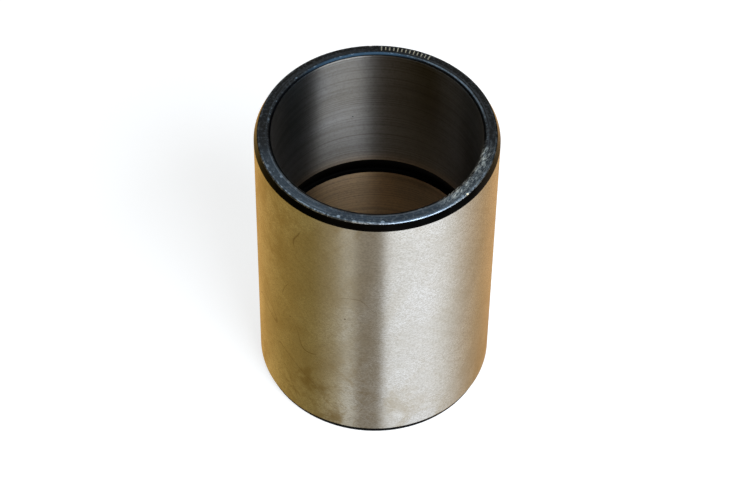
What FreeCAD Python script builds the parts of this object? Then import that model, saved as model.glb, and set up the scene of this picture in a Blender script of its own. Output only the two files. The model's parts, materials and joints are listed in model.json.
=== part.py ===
import FreeCAD, Part
import math
import os

# Hardened steel sleeve bushing: one turned and ground tube with a grease groove round the middle
# of its bore. Millimetres. +Z is the sleeve's axis, and the origin is the centre of the lower end face.

# Sleeve
bore_diameter = 90.0
outside_diameter = 105.0
length = 145.0

# Tapered lead-in round the outside of each end, which starts the sleeve into its housing,
# and the radius that rounds the edge between it and the end face
lead_in_length = 3.5
lead_in_depth = 1.5
end_edge_radius = 0.8

# Each mouth of the bore: a shallow rounded shoulder, tangent to the end face,
# and then a steep chamfer into the bore
shoulder_width = 1.85
shoulder_depth = 0.5
chamfer_width = 0.35
chamfer_depth = 0.5

# Grease groove: flat floor, rounded corners, and a small break along both edges
groove_width = 8.0
groove_depth = 2.0
groove_corner_radius = 1.0
groove_edge_break = 0.3

# Worked out from the dimensions above
bore_radius = bore_diameter / 2
outside_radius = outside_diameter / 2
lead_in_small_radius = outside_radius - lead_in_depth
shoulder_radius = (shoulder_width**2 + shoulder_depth**2) / (2 * shoulder_depth)
mid_height = length / 2
groove_floor_radius = bore_radius + groove_depth
groove_upper_wall = mid_height + groove_width / 2
AXIS = FreeCAD.Vector(0, 0, 1)


def point(radius, height):
    """A point of the section, which lies in the XZ plane."""
    return FreeCAD.Vector(radius, 0, height)


def arc_about(start, end, centre):
    """The arc about centre that runs from start to end the short way."""
    towards_middle = (start + end) / 2 - centre
    towards_middle.normalize()
    middle = centre + towards_middle * start.distanceToPoint(centre)
    return Part.Arc(start, middle, end).toShape()


def rounded_corner(before, corner, after, radius):
    """The arc tangent to both sides of a corner, from the side towards before to the side towards after."""
    back = (before - corner).normalize()
    onward = (after - corner).normalize()
    half_angle = back.getAngle(onward) / 2
    reach = radius / math.tan(half_angle)
    centre = corner + (back + onward).normalize() * (radius / math.sin(half_angle))
    return arc_about(corner + back * reach, corner + onward * reach, centre)


def groove_wall():
    """The groove's upper wall, from its floor to the bore."""
    corner_height = groove_upper_wall - groove_corner_radius
    corner_radius = groove_floor_radius - groove_corner_radius
    floor_end = point(groove_floor_radius, corner_height)
    wall_start = point(corner_radius, groove_upper_wall)
    wall_end = point(bore_radius + groove_edge_break, groove_upper_wall)
    bore_start = point(bore_radius, groove_upper_wall + groove_edge_break)
    return [
        arc_about(floor_end, wall_start, point(corner_radius, corner_height)),
        Part.makeLine(wall_start, wall_end),
        Part.makeLine(wall_end, bore_start),
    ]


def upper_end():
    """The upper half of the bore, its mouth, the end face, its outer edge and the lead-in."""
    bore_start = point(bore_radius, groove_upper_wall + groove_edge_break)
    bore_end = point(bore_radius, length - shoulder_depth - chamfer_depth)
    chamfer_end = point(bore_radius + chamfer_width, length - shoulder_depth)
    face_start = point(bore_radius + chamfer_width + shoulder_width, length)
    end_corner = point(lead_in_small_radius, length)
    outside_start = point(outside_radius, length - lead_in_length)
    shoulder_centre = face_start - point(0, shoulder_radius)
    end_edge = rounded_corner(face_start, end_corner, outside_start, end_edge_radius)
    face_end, lead_in_start = (vertex.Point for vertex in end_edge.Vertexes)
    return [
        Part.makeLine(bore_start, bore_end),
        Part.makeLine(bore_end, chamfer_end),
        arc_about(chamfer_end, face_start, shoulder_centre),
        Part.makeLine(face_start, face_end),
        end_edge,
        Part.makeLine(lead_in_start, outside_start),
    ]


def straight_sides():
    """The two parts of the section that cross the middle: the groove's floor and the outside."""
    floor_half = groove_width / 2 - groove_corner_radius
    outside_half = mid_height - lead_in_length
    return [
        Part.makeLine(
            point(groove_floor_radius, mid_height - floor_half),
            point(groove_floor_radius, mid_height + floor_half),
        ),
        Part.makeLine(
            point(outside_radius, mid_height - outside_half),
            point(outside_radius, mid_height + outside_half),
        ),
    ]


def sleeve():
    """The whole sleeve: its section is the same above and below the middle."""
    upper = groove_wall() + upper_end()
    lower = [edge.mirror(point(0, mid_height), AXIS) for edge in upper]
    outline = Part.Wire(Part.__sortEdges__(upper + lower + straight_sides()))
    solid = Part.Face(outline).revolve(FreeCAD.Vector(0, 0, 0), AXIS, 360)
    if not solid.isValid() or len(solid.Solids) != 1:
        raise ValueError("the sleeve isn't one valid solid")
    return solid.Solids[0]


os.makedirs("parts", exist_ok=True)
sleeve().exportStep("parts/sleeve.step")
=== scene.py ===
import json
import math

import bpy
from mathutils import Matrix, Vector


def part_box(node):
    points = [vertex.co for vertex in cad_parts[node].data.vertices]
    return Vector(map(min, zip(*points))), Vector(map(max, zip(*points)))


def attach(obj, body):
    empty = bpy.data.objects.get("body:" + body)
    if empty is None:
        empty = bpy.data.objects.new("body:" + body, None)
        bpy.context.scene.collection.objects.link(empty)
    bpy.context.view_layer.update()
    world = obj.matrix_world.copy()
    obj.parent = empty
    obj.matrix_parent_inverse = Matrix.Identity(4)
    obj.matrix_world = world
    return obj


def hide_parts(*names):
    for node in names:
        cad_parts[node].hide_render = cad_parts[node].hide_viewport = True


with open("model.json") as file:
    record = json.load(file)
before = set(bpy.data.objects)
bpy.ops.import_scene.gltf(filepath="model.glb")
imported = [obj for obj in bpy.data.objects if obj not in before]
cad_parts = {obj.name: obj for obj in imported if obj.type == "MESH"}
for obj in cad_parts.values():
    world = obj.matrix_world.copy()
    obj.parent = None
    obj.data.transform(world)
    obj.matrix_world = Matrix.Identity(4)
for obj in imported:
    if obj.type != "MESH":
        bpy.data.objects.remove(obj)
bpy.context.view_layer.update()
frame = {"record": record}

MM = 0.001

# ---------------------------------------------------------------- sizes, from the frame
_, high_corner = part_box("sleeve")
mounts = {mount["name"]: mount["dims"] for mount in frame["record"]["mounts"]}
LENGTH = high_corner.z
OUTER_R = high_corner.x
BORE_R = mounts["bore"]["r_mm"] * MM
MOUTH_DEPTH = (LENGTH - mounts["bore"]["length_mm"] * MM) / 2
LEAD_IN_LENGTH = (LENGTH - mounts["outside"]["length_mm"] * MM) / 2

# Sizes of the section that the record doesn't hold
LEAD_IN_DEPTH = 1.5 * MM
CHAMFER_WIDTH = 0.35 * MM
CHAMFER_DEPTH = 0.5 * MM
SHOULDER_WIDTH = 1.85 * MM
GROOVE_WIDTH = 8.0 * MM
GROOVE_DEPTH = 2.0 * MM
GROOVE_CORNER = 1.0 * MM
GROOVE_EDGE = 0.3 * MM
FACE_EDGE = 0.8 * MM

SHOULDER_DEPTH = MOUTH_DEPTH - CHAMFER_DEPTH
SHOULDER_R = BORE_R + CHAMFER_WIDTH
FACE_R = OUTER_R - LEAD_IN_DEPTH
MIDDLE = LENGTH / 2

# Edge rounds that are too small for the CAD section
LEAD_IN_EDGE = 0.25 * MM
MOUTH_EDGE = 0.2 * MM


# ---------------------------------------------------------------- node helpers
class Tree:
    """A short way to write a node tree: each call makes a node, links it and returns its output."""

    def __init__(self, tree):
        self.tree = tree
        tree.nodes.clear()

    def node(self, kind, inputs=None, output=0, **settings):
        """A node with these inputs, linked or set. The output is named or counted."""
        made = self.tree.nodes.new(kind)
        for name, value in settings.items():
            setattr(made, name, value)
        for key, value in (inputs or {}).items():
            if isinstance(value, bpy.types.NodeSocket):
                self.tree.links.new(value, made.inputs[key])
            else:
                made.inputs[key].default_value = value
        return made.outputs[output]

    def math(self, operation, a, b=0.0, c=0.0):
        return self.node("ShaderNodeMath", {0: a, 1: b, 2: c}, operation=operation)

    def parts(self, vector):
        """The X, Y and Z of a vector."""
        made = self.tree.nodes.new("ShaderNodeSeparateXYZ")
        self.tree.links.new(vector, made.inputs[0])
        return made.outputs

    def ramp(self, factor, stops):
        """A colour ramp. Each stop is (position, colour)."""
        made = self.tree.nodes.new("ShaderNodeValToRGB")
        made.color_ramp.interpolation = "EASE"
        elements = made.color_ramp.elements
        while len(elements) < len(stops):
            elements.new(0.5)
        for element, (position, colour) in zip(elements, stops):
            element.position = position
            element.color = (*colour, 1.0)
        self.tree.links.new(factor, made.inputs["Fac"])
        return made.outputs["Color"]

    def band(self, value, start, end, low=0.0, high=1.0):
        """value mapped smoothly from start..end to low..high."""
        return self.node(
            "ShaderNodeMapRange",
            {"Value": value, "From Min": start, "From Max": end, "To Min": low, "To Max": high},
            interpolation_type="SMOOTHSTEP",
        )

    def mix(self, factor, a, b):
        """Colour a where the factor is 0, and b where it is 1."""
        made = self.tree.nodes.new("ShaderNodeMix")
        made.data_type = "RGBA"
        for key, value in (("Factor_Float", factor), ("A_Color", a), ("B_Color", b)):
            socket = next(s for s in made.inputs if s.identifier == key)
            if isinstance(value, bpy.types.NodeSocket):
                self.tree.links.new(value, socket)
            else:
                socket.default_value = value if key == "Factor_Float" else (*value, 1.0)
        return next(s for s in made.outputs if s.identifier == "Result_Color")

    def noise(self, vector, scale, detail, roughness, distortion=0.0):
        return self.node(
            "ShaderNodeTexNoise",
            {
                "Vector": vector, "Scale": scale, "Detail": detail,
                "Roughness": roughness, "Distortion": distortion,
            },
        )

    def stretched(self, vector, scale):
        return self.node("ShaderNodeVectorMath", {0: vector, 1: scale}, operation="MULTIPLY")

    def bump(self, height, strength, distance):
        return self.node(
            "ShaderNodeBump", {"Strength": strength, "Distance": distance, "Height": height}
        )


def new_material(name):
    material = bpy.data.materials.new(name)
    material.use_nodes = True
    return material, Tree(material.node_tree)


def finish_material(t, colour, roughness, normal, tangent=None, anisotropy=0.0, turn=0.0):
    """The metal's shader. With a tangent, its highlights stretch as they do over fine lines."""
    shader = t.tree.nodes.new("ShaderNodeBsdfPrincipled")
    shader.inputs["Metallic"].default_value = 1.0
    shader.inputs["Anisotropic"].default_value = anisotropy
    shader.inputs["Anisotropic Rotation"].default_value = turn
    t.tree.links.new(colour, shader.inputs["Base Color"])
    t.tree.links.new(roughness, shader.inputs["Roughness"])
    t.tree.links.new(normal, shader.inputs["Normal"])
    if tangent is not None:
        t.tree.links.new(tangent, shader.inputs["Tangent"])
    output = t.tree.nodes.new("ShaderNodeOutputMaterial")
    t.tree.links.new(shader.outputs["BSDF"], output.inputs["Surface"])


# ---------------------------------------------------------------- materials
def cylinder_places(t):
    """Object coordinates, the distance from the axis, and the coordinates' X, Y and Z."""
    place = t.node("ShaderNodeTexCoord", output="Object")
    across = t.stretched(place, (1, 1, 0))
    radius = t.node("ShaderNodeVectorMath", {0: across}, output="Value", operation="LENGTH")
    return place, radius, t.parts(place)


def helical(t, place, height, turns_per_metre, scale):
    """Coordinates whose long streaks run round the sleeve along a helix."""
    angle = t.math("MULTIPLY", height, math.tau * turns_per_metre)
    turned = t.node(
        "ShaderNodeVectorRotate", {"Vector": place, "Angle": angle}, rotation_type="Z_AXIS"
    )
    return t.stretched(turned, scale)


# The anisotropic rotation that goes with a tangent round the axis: a quarter turn
ALONG_THE_AXIS = 0.25


def round_the_axis(t):
    """The direction of lines that run round the sleeve."""
    return t.node("ShaderNodeTangent", direction_type="RADIAL", axis="Z")


def around(t, parts, start, end, blend=6.0, inside=1.0, outside=0.0):
    """One value between two angles round the axis, in degrees from +X, and another outside them."""
    angle = t.math("ARCTAN2", parts["Y"], parts["X"])
    start, end, blend = math.radians(start), math.radians(end), math.radians(blend)
    after_start = t.band(angle, start - blend, start + blend)
    within = t.math("MULTIPLY", after_start, t.band(angle, end + blend, end - blend))
    return t.math("MULTIPLY_ADD", within, inside - outside, outside)


def hairlines(t, place):
    """Part 1 along a few thin wandering lines, where rust has started under the film."""
    wander = t.noise(place, 26.0, 1.0, 0.4, 0.5)
    off_line = t.math("ABSOLUTE", t.math("SUBTRACT", wander, 0.5))
    here_and_there = t.band(t.noise(place, 45.0, 1.0, 0.5), 0.54, 0.62, 0.0, 0.60)
    return t.math("MULTIPLY", t.band(off_line, 0.005, 0.001), here_and_there)


def pits(t, place, scale, size):
    """1 inside small round spots scattered at random, 0 outside them."""
    cells = t.tree.nodes.new("ShaderNodeTexVoronoi")
    cells.inputs["Scale"].default_value = scale
    t.tree.links.new(place, cells.inputs["Vector"])
    kept = t.tree.nodes.new("ShaderNodeSeparateColor")
    t.tree.links.new(cells.outputs["Color"], kept.inputs[0])
    reach = t.math("MULTIPLY", t.band(kept.outputs[0], 0.55, 1.0), size)
    return t.math("LESS_THAN", cells.outputs["Distance"], reach)


def ground_steel():
    """The outside: grinding lines under an uneven oil film, with stains, smudges and hairlines. These
    are heaviest on the side that the camera sees on the left and at the back, and the colour is darker
    towards the foot."""
    material, t = new_material("ground_steel")
    place, _, parts = cylinder_places(t)
    height = parts["Z"]
    lines = t.noise(t.stretched(place, (40, 40, 1500)), 1.0, 3.0, 0.7)
    wipes = t.noise(helical(t, place, height, 3.0, (380, 380, 30)), 1.0, 3.0, 0.65, 0.5)
    grain = t.noise(t.stretched(place, (1100, 1100, 2000)), 1.0, 2.0, 0.7)
    film = t.noise(helical(t, place, height, -1.2, (34, 34, 22)), 1.0, 4.0, 0.55, 0.6)
    stain = t.noise(helical(t, place, height, -1.2, (55, 55, 38)), 1.0, 6.0, 0.68, 1.0)
    patches = t.noise(place, 12.0, 1.0, 0.5)
    # Stains and oil film heavier everywhere but the front right.
    away_from_front_right = around(t, parts, -90, -15, 12, inside=0.2, outside=1.0)
    # Darker towards the foot, less so on the right.
    less_on_the_right = around(t, parts, -78, 60, 15, inside=0.35, outside=1.0)
    low_down = t.math("MULTIPLY", t.band(height, 50 * MM, 6 * MM), less_on_the_right)

    oiled = t.math("MULTIPLY", t.band(film, 0.36, 0.62), t.math("MULTIPLY_ADD", away_from_front_right, 0.85, 0.15))
    colour = t.mix(oiled, (0.74, 0.73, 0.72), (0.62, 0.572, 0.49))
    colour = t.mix(t.band(wipes, 0.45, 0.75, 0.0, 0.18), colour, (0.42, 0.36, 0.26))
    colour = t.mix(t.band(lines, 0.40, 0.62, 0.0, 0.22), colour, (0.46, 0.43, 0.39))
    colour = t.mix(t.band(grain, 0.42, 0.60, 0.0, 0.55), colour, (0.40, 0.37, 0.32))
    stain_patches_and_painted_black = t.math("MULTIPLY", t.band(patches, 0.36, 0.56, 0.25, 0.6), away_from_front_right)
    dirty = t.math("MULTIPLY", t.band(stain, 0.44, 0.68), stain_patches_and_painted_black)
    colour = t.mix(dirty, colour, (0.36, 0.27, 0.13))
    smudges = t.noise(helical(t, place, height, 2.2, (210, 210, 120)), 1.0, 5.0, 0.7, 0.8)
    smudged = t.math("MULTIPLY", t.band(smudges, 0.48, 0.66), t.math("MULTIPLY", stain_patches_and_painted_black, 0.7))
    colour = t.mix(smudged, colour, (0.38, 0.29, 0.16))
    darker_low_down = t.math("MULTIPLY", t.band(stain, 0.46, 0.66), t.math("MULTIPLY", low_down, 0.6))
    colour = t.mix(darker_low_down, colour, (0.33, 0.25, 0.13))
    rubs = t.noise(place, 90.0, 4.0, 0.7, 2.0)
    lightened = t.math("MULTIPLY", t.band(rubs, 0.50, 0.62, 0.0, 0.6), low_down)
    colour = t.mix(lightened, colour, (0.72, 0.70, 0.66))
    colour = t.mix(t.math("MULTIPLY", hairlines(t, place), away_from_front_right), colour, (0.24, 0.17, 0.09))
    colour = t.mix(pits(t, place, 85.0, 0.04), colour, (0.08, 0.045, 0.03))
    roughness = t.math("MULTIPLY_ADD", film, 0.10, 0.22)
    height_map = t.math("ADD", t.math("MULTIPLY", lines, 0.6), t.math("MULTIPLY", grain, 0.4))
    normal = t.bump(height_map, 0.08, 0.05 * MM)
    finish_material(t, colour, roughness, normal, round_the_axis(t), 0.88, ALONG_THE_AXIS)
    return material


def honed_bore():
    """The bore: uneven honing lines round it and a few specks, with a painted warm reflection, brighter
    and browner, below the groove.
    """
    material, t = new_material("honed_bore")
    place, _, parts = cylinder_places(t)
    lines = t.noise(t.stretched(place, (8, 8, 1300)), 1.0, 4.0, 0.7)
    bands = t.noise(t.stretched(place, (5, 5, 260)), 1.0, 3.0, 0.6)
    clouds = t.noise(place, 26.0, 4.0, 0.55, 0.3)
    grain = t.noise(place, 900.0, 2.0, 0.6)
    # Painted reflection: warm light bounced up into the bore, brighter and browner below the groove.
    painted_warm_reflection = t.band(parts["Z"], MIDDLE + 12 * MM, MIDDLE - 4 * MM)
    colour = t.mix(painted_warm_reflection, (0.245, 0.233, 0.225), (0.44, 0.28, 0.145))
    colour = t.mix(t.band(clouds, 0.3, 0.75, 0.0, 0.5), colour, (0.19, 0.165, 0.13))
    colour = t.mix(t.band(lines, 0.35, 0.7, 0.0, 0.55), colour, (0.09, 0.075, 0.06))
    colour = t.mix(t.band(grain, 0.4, 0.75, 0.0, 0.3), colour, (0.09, 0.075, 0.06))
    colour = t.mix(pits(t, place, 90.0, 0.05), colour, (0.03, 0.03, 0.03))
    roughness = t.math("MULTIPLY_ADD", bands, 0.16, 0.37)
    normal = t.bump(lines, 0.15, 0.06 * MM)
    finish_material(t, colour, roughness, normal, round_the_axis(t), 1.0, ALONG_THE_AXIS)
    return material


def black_skin():
    """The end faces and bore mouths: a blue-black heat-treated skin over turning lines, worn in places.
    Towards the front it is painted lighter and bluer, grainier and with light specks: painted sheen."""
    material, t = new_material("black_skin")
    place, radius, parts = cylinder_places(t)
    across, down = t.math("MULTIPLY", parts["X"], 14.0), t.math("MULTIPLY", parts["Y"], 14.0)
    outwards = t.math("MULTIPLY", radius, 1150.0)
    ringed = t.node("ShaderNodeCombineXYZ", {0: across, 1: down, 2: outwards})
    turning = t.noise(ringed, 1.0, 3.0, 0.6)
    grain = t.noise(place, 800.0, 3.0, 0.65)
    clouds = t.noise(place, 70.0, 4.0, 0.6, 0.5)
    wear = t.noise(place, 230.0, 6.0, 0.75, 0.8)
    slanted = t.node("ShaderNodeVectorRotate", {"Vector": place, "Angle": -1.1}, rotation_type="Z_AXIS")
    scratches = t.noise(t.stretched(slanted, (330, 1700, 400)), 1.0, 4.0, 0.7, 0.5)
    bare = t.node("ShaderNodeAttribute", output="Fac", attribute_name="bare")
    # Painted sheen: the face lighter and bluer towards the front, with more grain and light specks,
    # where its turning lines catch the light.
    front = t.band(parts["Y"], 6 * MM, -46 * MM)

    colour = t.mix(front, (0.058, 0.049, 0.041), (0.110, 0.125, 0.145))
    colour = t.mix(t.band(clouds, 0.35, 0.7, 0.0, 0.5), colour, (0.042, 0.044, 0.047))
    left_front = around(t, parts, -165, -118)
    colour = t.mix(t.math("MULTIPLY", left_front, 0.35), colour, (0.20, 0.23, 0.26))
    lines_show = t.math("MULTIPLY_ADD", left_front, 0.75, 0.15)
    turned = t.math("MULTIPLY", t.band(turning, 0.54, 0.60), lines_show)
    colour = t.mix(turned, colour, (0.40, 0.43, 0.46))
    grainy = t.math("MULTIPLY", t.band(grain, 0.5, 0.62), t.math("MULTIPLY_ADD", front, 0.5, 0.3))
    colour = t.mix(grainy, colour, (0.26, 0.26, 0.26))
    colour = t.mix(t.math("MULTIPLY", pits(t, place, 330.0, 0.30), front), colour, (0.62, 0.66, 0.70))

    # Along the shoulder's upper edge runs a lighter line. Below it painted shade makes the skin black,
    # and at the back a painted reflection of the window makes it blue.
    below_face = t.band(radius, BORE_R + 2.3 * MM, BORE_R + 1.9 * MM)
    # Painted shade: the shoulder near black below its upper edge, where it reflects the dark bore.
    stain_patches_and_painted_black = t.band(radius, BORE_R + 1.4 * MM, BORE_R + 1.0 * MM, 0.0, 0.93)
    colour = t.mix(stain_patches_and_painted_black, colour, (0.005, 0.005, 0.006))
    # Painted reflection of the window: blue across the shoulder at the back.
    blue = t.math("MULTIPLY", below_face, around(t, parts, 76, 126, 14, inside=0.85))
    blue = t.math("MULTIPLY", blue, t.band(radius, BORE_R + 0.5 * MM, BORE_R + 0.9 * MM))
    colour = t.mix(blue, colour, (0.09, 0.15, 0.21))
    past_black = t.band(radius, BORE_R + 1.2 * MM, BORE_R + 1.6 * MM)
    edge_line = t.math("MULTIPLY", below_face, past_black)
    specks = t.band(wear, 0.54, 0.60, 0.05, 0.9)
    # A lighter line along the shoulder's upper edge: whole over two arcs, in specks elsewhere.
    lightened = t.math("MAXIMUM", around(t, parts, 14, 66, 10, inside=0.75), specks)
    lightened = t.math("MAXIMUM", around(t, parts, -95, -40, 10, inside=0.85), lightened)
    lightened = t.math("MULTIPLY", edge_line, lightened)
    lightened = t.math("MULTIPLY", lightened, t.band(wear, 0.36, 0.56, 0.4, 1.0))
    colour = t.mix(lightened, colour, (0.40, 0.44, 0.48))

    # The skin is thin along the face's outer edge, worn through in dots that are painted brighter
    # towards the front as sheen, and scraped off one patch of the face.
    along_edge = t.band(radius, FACE_R - 1.1 * MM, FACE_R - 0.5 * MM)
    outer = t.math("MULTIPLY", along_edge, t.band(t.noise(place, 420.0, 3.0, 0.7), 0.47, 0.58))
    wear_and_front_sheen = t.math("MULTIPLY_ADD", front, 0.6, 0.2)
    colour = t.mix(t.math("MULTIPLY", outer, wear_and_front_sheen), colour, (0.68, 0.71, 0.74))
    # Painted highlight along the outer edge at the front right, where the window's light glints.
    painted_edge_highlight = t.math("MULTIPLY", along_edge, around(t, parts, -88, -46))
    colour = t.mix(t.math("MULTIPLY", painted_edge_highlight, 0.8), colour, (0.22, 0.265, 0.32))
    worn_off = t.band(wear, 0.40, 0.54, 0.15, 1.0)
    scraped = t.math("MULTIPLY", worn_off, t.band(scratches, 0.44, 0.56, 0.05, 1.0))
    inner_half = t.band(radius, BORE_R + 4.8 * MM, BORE_R + 3.0 * MM, 0.35, 1.0)
    scraped = t.math("MULTIPLY", t.math("MULTIPLY", scraped, inner_half), around(t, parts, -54, -9))
    colour = t.mix(scraped, colour, (0.80, 0.78, 0.71))
    colour = t.mix(bare, colour, (0.88, 0.78, 0.58))
    roughness = t.math("MULTIPLY_ADD", grain, 0.2, 0.28)
    roughness = t.math("MAXIMUM", roughness, t.math("MULTIPLY", t.math("MAXIMUM", bare, scraped), 0.75))
    height_map = t.math("ADD", t.math("MULTIPLY", turning, 0.5), t.math("MULTIPLY", grain, 0.5))
    normal = t.bump(height_map, 0.3, 0.08 * MM)
    finish_material(t, colour, roughness, normal)
    return material


def black_lead_in():
    """The lead-ins: the same skin on a smoother turned cone, nearly black."""
    material, t = new_material("black_lead_in")
    place = t.node("ShaderNodeTexCoord", output="Object")
    lines = t.noise(t.stretched(place, (10, 10, 3000)), 1.0, 3.0, 0.6)
    clouds = t.noise(place, 90.0, 4.0, 0.6)
    bare = t.node("ShaderNodeAttribute", output="Fac", attribute_name="bare")
    colour = t.mix(t.band(clouds, 0.35, 0.75), (0.006, 0.006, 0.007), (0.016, 0.016, 0.017))
    colour = t.mix(t.band(lines, 0.5, 0.75, 0.0, 0.3), colour, (0.045, 0.045, 0.047))
    colour = t.mix(bare, colour, (0.62, 0.56, 0.45))
    roughness = t.math("MULTIPLY_ADD", clouds, 0.12, 0.16)
    normal = t.bump(lines, 0.15, 0.06 * MM)
    finish_material(t, colour, roughness, normal)
    return material


def black_groove():
    """The groove: unground black skin under old grease."""
    material, t = new_material("black_groove")
    place = t.node("ShaderNodeTexCoord", output="Object")
    clouds = t.noise(place, 200.0, 4.0, 0.6)
    colour = t.mix(clouds, (0.0015, 0.0015, 0.0015), (0.005, 0.0045, 0.004))
    roughness = t.math("MULTIPLY_ADD", clouds, 0.2, 0.5)
    normal = t.bump(clouds, 0.3, 0.1 * MM)
    finish_material(t, colour, roughness, normal)
    return material


# ---------------------------------------------------------------- the sleeve's section
SKIN, LEAD_IN, OUTSIDE, BORE, GROOVE = range(5)
SHOULDER_STEPS = 8
UPPER_FACE_RINGS = 30
LOWER_FACE_RINGS = 5


def rounded(before, corner, after, radius, steps):
    """Points of the arc that rounds a corner of the section, from the first side to the second."""
    before, corner, after = Vector(before), Vector(corner), Vector(after)
    back = (before - corner).normalized()
    on = (after - corner).normalized()
    half = back.angle(on) / 2
    centre = corner + (back + on).normalized() * (radius / math.sin(half))
    start = corner + back * (radius / math.tan(half)) - centre
    end = corner + on * (radius / math.tan(half)) - centre
    return [centre + start.slerp(end, step / steps).normalized() * radius for step in range(steps + 1)]


def straight(start, end, count):
    """count points evenly between two others, not counting either."""
    start, end = Vector(start), Vector(end)
    return [start.lerp(end, i / (count + 1)) for i in range(1, count + 1)]


def half_section(face_rings):
    """The section's upper half, from the groove's floor to the outside: (radius, height above the
    middle, zone). A zone is the finish of the stretch from this point to the next."""
    top = LENGTH / 2
    wall = GROOVE_WIDTH / 2
    floor_r = BORE_R + GROOVE_DEPTH
    blend_r = (SHOULDER_WIDTH**2 + SHOULDER_DEPTH**2) / (2 * SHOULDER_DEPTH)
    sweep = math.asin(SHOULDER_WIDTH / blend_r)
    centre = Vector((SHOULDER_R + SHOULDER_WIDTH, top - blend_r))
    turns = [sweep * (1 - i / SHOULDER_STEPS) for i in range(SHOULDER_STEPS + 1)]
    shoulder = [centre + Vector((-math.sin(turn), math.cos(turn))) * blend_r for turn in turns]
    chamfer_end = (BORE_R, top - MOUTH_DEPTH)
    face_end = (FACE_R, top)
    lead_in_end = (OUTER_R, top - LEAD_IN_LENGTH)
    groove = rounded((floor_r, 0), (floor_r, wall), (BORE_R, wall), GROOVE_CORNER, steps=5)
    groove_edge = rounded((floor_r, wall), (BORE_R, wall), (BORE_R, top), GROOVE_EDGE, steps=4)
    bore_edge = rounded((BORE_R, 0), chamfer_end, shoulder[0], MOUTH_EDGE, steps=3)
    shoulder_edge = rounded(chamfer_end, shoulder[0], shoulder[1], MOUTH_EDGE, steps=3)
    face_edge = rounded(shoulder[-1], face_end, lead_in_end, FACE_EDGE, steps=9)
    lead_in_edge = rounded(face_end, lead_in_end, (OUTER_R, 0), LEAD_IN_EDGE, steps=4)
    stretches = [
        (groove, GROOVE),
        (groove_edge[:-1], GROOVE),
        (groove_edge[-1:] + straight(groove_edge[-1], bore_edge[0], count=6), BORE),
        (bore_edge, BORE),
        (shoulder_edge + shoulder[1:], SKIN),
        (straight(shoulder[-1], face_edge[0], count=face_rings), SKIN),
        (face_edge[:-1], SKIN),
        (face_edge[-1:] + straight(face_edge[-1], lead_in_edge[0], count=3), LEAD_IN),
        (lead_in_edge[:-1], LEAD_IN),
        (lead_in_edge[-1:] + straight(lead_in_edge[-1], (OUTER_R, 0), count=5), OUTSIDE),
    ]
    return [(point.x, point.y, zone) for points, zone in stretches for point in points]


def section():
    """The whole closed section, from the middle of the groove's floor up and round, as points of
    (radius, height, zone). Only the upper end face has rings enough for the marks."""
    upper = half_section(UPPER_FACE_RINGS)
    lower = half_section(LOWER_FACE_RINGS)
    zones_below = [GROOVE] + [zone for _, _, zone in lower[:-1]]
    rows = [(r, MIDDLE + z, zone) for r, z, zone in upper]
    rows += [(r, MIDDLE - z, zone) for (r, z, _), zone in zip(reversed(lower), reversed(zones_below))]
    return rows


# ---------------------------------------------------------------- marks and knocks
# Angles here are in degrees from +X, towards +Y.
MARK_START, MARK_END = 63.5, 88.5
MARK_COUNT = 13
MARK_R = 0.937 * OUTER_R
MARK_DEPTH = 0.12 * MM
MARK_SIDE = 0.12 * MM
MARK_HALF_WIDTH = 0.27 * MM
MARK_HALF_LENGTH = 0.95 * MM
LONG_MARK_HALF_LENGTH = 1.3 * MM
LONG_MARK_EVERY = 4
FACE_TOLERANCE = 0.05 * MM


def mark_depth(angle, r, z):
    """How deep the row of stamped ticks on the upper end face goes at a point, from 0 to 1."""
    if z < LENGTH - FACE_TOLERANCE or not MARK_START - 1 < angle < MARK_END + 1:
        return 0.0
    pitch = (MARK_END - MARK_START) / (MARK_COUNT - 1)
    tick = round((angle - MARK_START) / pitch)
    half_length = MARK_HALF_LENGTH if tick % LONG_MARK_EVERY else LONG_MARK_HALF_LENGTH
    aside = math.radians(angle - MARK_START - tick * pitch) * r
    along = max(abs(r - MARK_R) - half_length + MARK_HALF_WIDTH, 0.0)
    distance = math.hypot(aside, along)
    return max(0.0, min(1.0, (MARK_HALF_WIDTH - distance) / MARK_SIDE + 0.5))


# Knocks on the edges between the end faces and the lead-ins: (angle, upper end, half width, depth).
KNOCKS = [
    (94.0, True, 0.9 * MM, 0.30 * MM),
    (201.0, True, 0.8 * MM, 0.12 * MM),
    (318.0, True, 1.1 * MM, 0.14 * MM),
    (36.0, True, 0.7 * MM, 0.10 * MM),
    (142.0, False, 1.2 * MM, 0.20 * MM),
    (262.0, False, 1.0 * MM, 0.14 * MM),
    (5.0, False, 0.9 * MM, 0.16 * MM),
]
KNOCK_NARROWING = 1.4  # a knock's width over its height, and over its reach towards the axis
KNOCK_SLOPE = 0.7  # the share of a knock's depth that goes inwards, and the share that goes endwards

# How bare the metal is in a tick, and how deep a knock is where its metal is quite bare
MARK_BARE = 0.85
KNOCK_BARE_DEPTH = 0.10 * MM


def knock_depth(angle, r, z):
    """How deep the knocks go at a point, in metres."""
    depth = 0.0
    for at, upper, half_width, deepest in KNOCKS:
        edge_z = LENGTH if upper else 0.0
        aside = math.radians((angle - at + 180) % 360 - 180) * r
        outwards, endwards = (r - FACE_R) * KNOCK_NARROWING, (z - edge_z) * KNOCK_NARROWING
        distance = math.hypot(aside, outwards, endwards) / half_width
        if distance < 1:
            depth += deepest * (1 - distance**2) ** 2
    return depth


def segment_angles():
    """Angles of the lathe's segments, closer together along the marks and at the knocks."""
    coarse, fine = 1.0, 0.2
    reach = 2.0
    fine_spans = [(MARK_START - 1, MARK_END + 1)]
    fine_spans += [(at - reach, at + reach) for at, _, _, _ in KNOCKS]
    angles = []
    angle = 0.0
    while angle < 360 - coarse / 2:
        angles.append(angle)
        close = any(low <= at < high for low, high in fine_spans for at in (angle, angle + 360))
        angle += fine if close else coarse
    return angles


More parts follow.
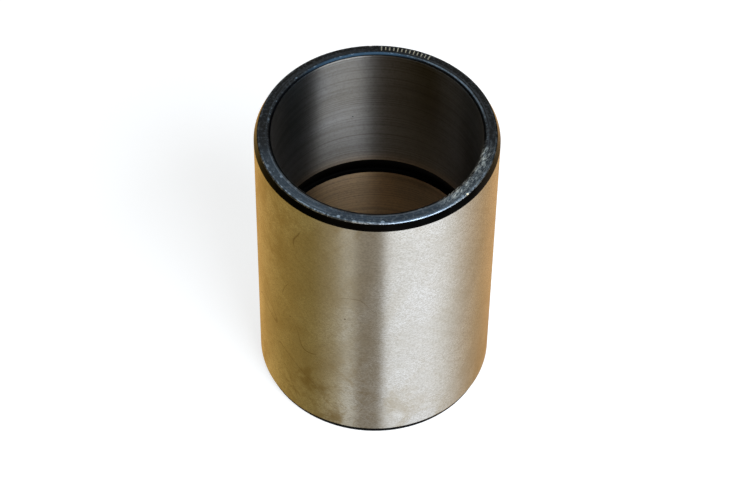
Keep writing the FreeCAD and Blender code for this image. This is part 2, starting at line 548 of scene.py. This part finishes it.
def lathe(name, rows, materials):
    """A closed solid of revolution with the marks and knocks pressed into it. Its attribute "bare"
    says how far they have taken the black skin off."""
    angles = segment_angles()
    rings = len(rows)
    verts = []
    bare = []
    for angle in angles:
        turn = math.radians(angle)
        for r, z, _ in rows:
            mark = mark_depth(angle, r, z)
            knock = knock_depth(angle, r, z)
            to_middle = 1 if z < MIDDLE else -1
            reduced = r - knock * KNOCK_SLOPE
            pressed = z - mark * MARK_DEPTH + knock * KNOCK_SLOPE * to_middle
            verts.append((reduced * math.cos(turn), reduced * math.sin(turn), pressed))
            bare.append(max(mark * MARK_BARE, min(1.0, knock / KNOCK_BARE_DEPTH)))
    faces = []
    zones = []
    for i in range(len(angles)):
        here, there = i * rings, (i + 1) % len(angles) * rings
        for j in range(rings):
            k = (j + 1) % rings
            faces.append((here + j, here + k, there + k, there + j))
            zones.append(rows[j][2])
    mesh = bpy.data.meshes.new(name)
    mesh.from_pydata(verts, [], faces)
    for material in materials:
        mesh.materials.append(material)
    mesh.polygons.foreach_set("material_index", zones)
    mesh.polygons.foreach_set("use_smooth", [True] * len(faces))
    mesh.attributes.new("bare", "FLOAT", "POINT").data.foreach_set("value", bare)
    mesh.update()
    made = bpy.data.objects.new(name, mesh)
    bpy.context.scene.collection.objects.link(made)
    return made


finishes = [black_skin(), black_lead_in(), ground_steel(), honed_bore(), black_groove()]
sleeve = lathe("steel_sleeve", section(), finishes)
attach(sleeve, "root")
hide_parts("sleeve")


# ---------------------------------------------------------------- floor
def plain_material(name, grey, glow, tint=(1.0, 1.0, 1.0)):
    """A matt grey that also glows in its tint."""
    material, t = new_material(name)
    shader = t.tree.nodes.new("ShaderNodeBsdfPrincipled")
    shader.inputs["Base Color"].default_value = (grey, grey, grey, 1)
    shader.inputs["Roughness"].default_value = 0.9
    shader.inputs["Specular IOR Level"].default_value = 0.1
    shader.inputs["Emission Color"].default_value = (*tint, 1)
    shader.inputs["Emission Strength"].default_value = glow
    output = t.tree.nodes.new("ShaderNodeOutputMaterial")
    t.tree.links.new(shader.outputs["BSDF"], output.inputs["Surface"])
    return material


def floor_piece(name, inner, outer, material):
    """A flat ring on the floor, or a disc where it has no inner radius."""
    steps = 96
    turns = [math.tau * i / steps for i in range(steps)]
    verts = [(outer * math.cos(turn), outer * math.sin(turn), 0) for turn in turns]
    faces = [tuple(range(steps))]
    if inner:
        verts += [(inner * math.cos(turn), inner * math.sin(turn), 0) for turn in turns]
        faces = [(i, (i + 1) % steps, steps + (i + 1) % steps, steps + i) for i in range(steps)]
    mesh = bpy.data.meshes.new(name)
    mesh.from_pydata(verts, [], faces)
    mesh.materials.append(material)
    made = bpy.data.objects.new(name, mesh)
    bpy.context.scene.collection.objects.link(made)
    return made


# The bright floor would flood the steel with white, so its open part doesn't show in reflections.
CONTACT_R = FACE_R + 0.3 * MM
FLOOR_R = 4.0
# The floor inside the bore glows warm: painted light that brightens the bore from below.
inside_bore = plain_material("floor_inside_bore", grey=0.5, glow=0.31, tint=(1.0, 0.87, 0.68))
contact_shade = plain_material("contact_shade", grey=0.03, glow=0.0)
pale_floor = plain_material("pale_floor", grey=0.5, glow=0.78)
floor_piece("floor_inside", 0, BORE_R, inside_bore)
floor_piece("floor_under", BORE_R, CONTACT_R, contact_shade)
open_floor = floor_piece("floor_open", CONTACT_R, FLOOR_R, pale_floor)
open_floor.visible_glossy = False


# ---------------------------------------------------------------- light
# What the camera sees past the floor
BACKDROP = (0.93, 0.93, 0.93)

# What the steel reflects. Each stop is (degrees to the right of the front, colour).
UNDERNEATH = (0.02, 0.02, 0.02)
TABLE = [
    (-180, (1.12, 0.67, 0.27)),
    (-155, (0.92, 0.53, 0.16)),
    (-130, (0.74, 0.47, 0.14)),
    (-105, (0.43, 0.285, 0.075)),
    (-60, (0.36, 0.27, 0.09)),
    (-40, (0.52, 0.44, 0.26)),
    (-24, (0.82, 0.80, 0.70)),
    (-12, (0.42, 0.38, 0.31)),
    (3, (0.42, 0.38, 0.31)),
    (15, (1.28, 1.32, 1.34)),
    (50, (1.32, 1.36, 1.40)),
    (72, (1.10, 1.10, 1.06)),
    (90, (0.76, 0.66, 0.52)),
    (120, (0.60, 0.40, 0.19)),
    (150, (0.98, 0.60, 0.28)),
    (180, (1.10, 0.66, 0.26)),
]
ROOM = [
    (-180, (0.14, 0.13, 0.12)),
    (-150, (0.13, 0.12, 0.10)),
    (-125, (0.12, 0.11, 0.09)),
    (-100, (0.06, 0.05, 0.03)),
    (-50, (0.11, 0.08, 0.02)),
    (-10, (0.25, 0.20, 0.13)),
    (40, (0.15, 0.15, 0.15)),
    (90, (0.012, 0.012, 0.012)),
    (135, (0.015, 0.014, 0.013)),
    (162, (0.09, 0.082, 0.076)),
    (180, (0.14, 0.13, 0.12)),
]


def ring_of_colour(t, azimuth, stops):
    """A colour for every direction round the horizon."""
    turn = t.math("MULTIPLY_ADD", azimuth, 1 / math.tau, 0.5)
    return t.ramp(turn, [(0.5 + degrees / 360, colour) for degrees, colour in stops])


def surroundings():
    """A table lit from one side below the horizon, dark straight underneath, and a dim room above.
    The camera sees a plain pale backdrop."""
    world = bpy.data.worlds.new("studio")
    world.use_nodes = True
    bpy.context.scene.world = world
    t = Tree(world.node_tree)
    parts = t.parts(t.node("ShaderNodeTexCoord", output="Generated"))
    azimuth = t.math("ARCTAN2", parts["X"], t.math("MULTIPLY", parts["Y"], -1.0))
    table = t.mix(t.band(parts["Z"], -0.95, -0.84), UNDERNEATH, ring_of_colour(t, azimuth, TABLE))
    colour = t.mix(t.band(parts["Z"], -0.45, -0.15), table, ring_of_colour(t, azimuth, ROOM))
    seen = t.node("ShaderNodeLightPath", output="Is Camera Ray")
    colour = t.mix(seen, colour, BACKDROP)
    background = t.node("ShaderNodeBackground", {"Color": colour, "Strength": 1.0})
    output = t.tree.nodes.new("ShaderNodeOutputWorld")
    t.tree.links.new(background, output.inputs["Surface"])


def softbox(name, azimuth, elevation, distance, width, tall, power, colour):
    """A soft light that points at the sleeve. Azimuth is in degrees to the right of the front,
    elevation in degrees, distance and size in metres."""
    light = bpy.data.lights.new(name, "AREA")
    light.shape = "RECTANGLE"
    light.size = width
    light.size_y = tall
    light.energy = power
    light.color = colour
    made = bpy.data.objects.new(name, light)
    turn, rise = math.radians(azimuth), math.radians(elevation)
    level = Vector((math.sin(turn), -math.cos(turn), 0))
    towards = level * math.cos(rise) + Vector((0, 0, math.sin(rise)))
    made.location = Vector((0, 0, MIDDLE)) + towards * distance
    made.rotation_euler = towards.to_track_quat("Z", "Y").to_euler()
    bpy.context.scene.collection.objects.link(made)


surroundings()
softbox(
    "window", azimuth=38, elevation=42, distance=1.5, width=1.05, tall=1.0,
    power=28, colour=(0.82, 0.91, 1.0),
)
softbox(
    "skylight", azimuth=166, elevation=72, distance=0.9, width=0.9, tall=0.3,
    power=1.2, colour=(0.50, 0.76, 1.0),
)


# ---------------------------------------------------------------- camera
def camera():
    """The photograph's view: from the front, 50 degrees above the floor, with a long lens."""
    elevation = math.radians(50.1)
    roll = math.radians(0.9)
    distance = 22.52 * OUTER_R
    aim = Vector((-0.005 * OUTER_R, 0, LENGTH - 1.361 * OUTER_R))
    data = bpy.data.cameras.new("camera")
    data.lens = 127.7
    data.sensor_width = 36.0
    made = bpy.data.objects.new("camera", data)
    back = Vector((0, -math.cos(elevation), math.sin(elevation)))
    right = Vector((1, 0, 0))
    up = back.cross(right)
    rolled_right = right * math.cos(roll) + up * math.sin(roll)
    rolled_up = up * math.cos(roll) - right * math.sin(roll)
    turned = Matrix((rolled_right, rolled_up, back)).transposed().to_4x4()
    made.matrix_world = Matrix.Translation(aim + back * distance) @ turned
    bpy.context.scene.collection.objects.link(made)
    bpy.context.scene.camera = made


camera()
bpy.context.scene.view_settings.view_transform = "Standard"
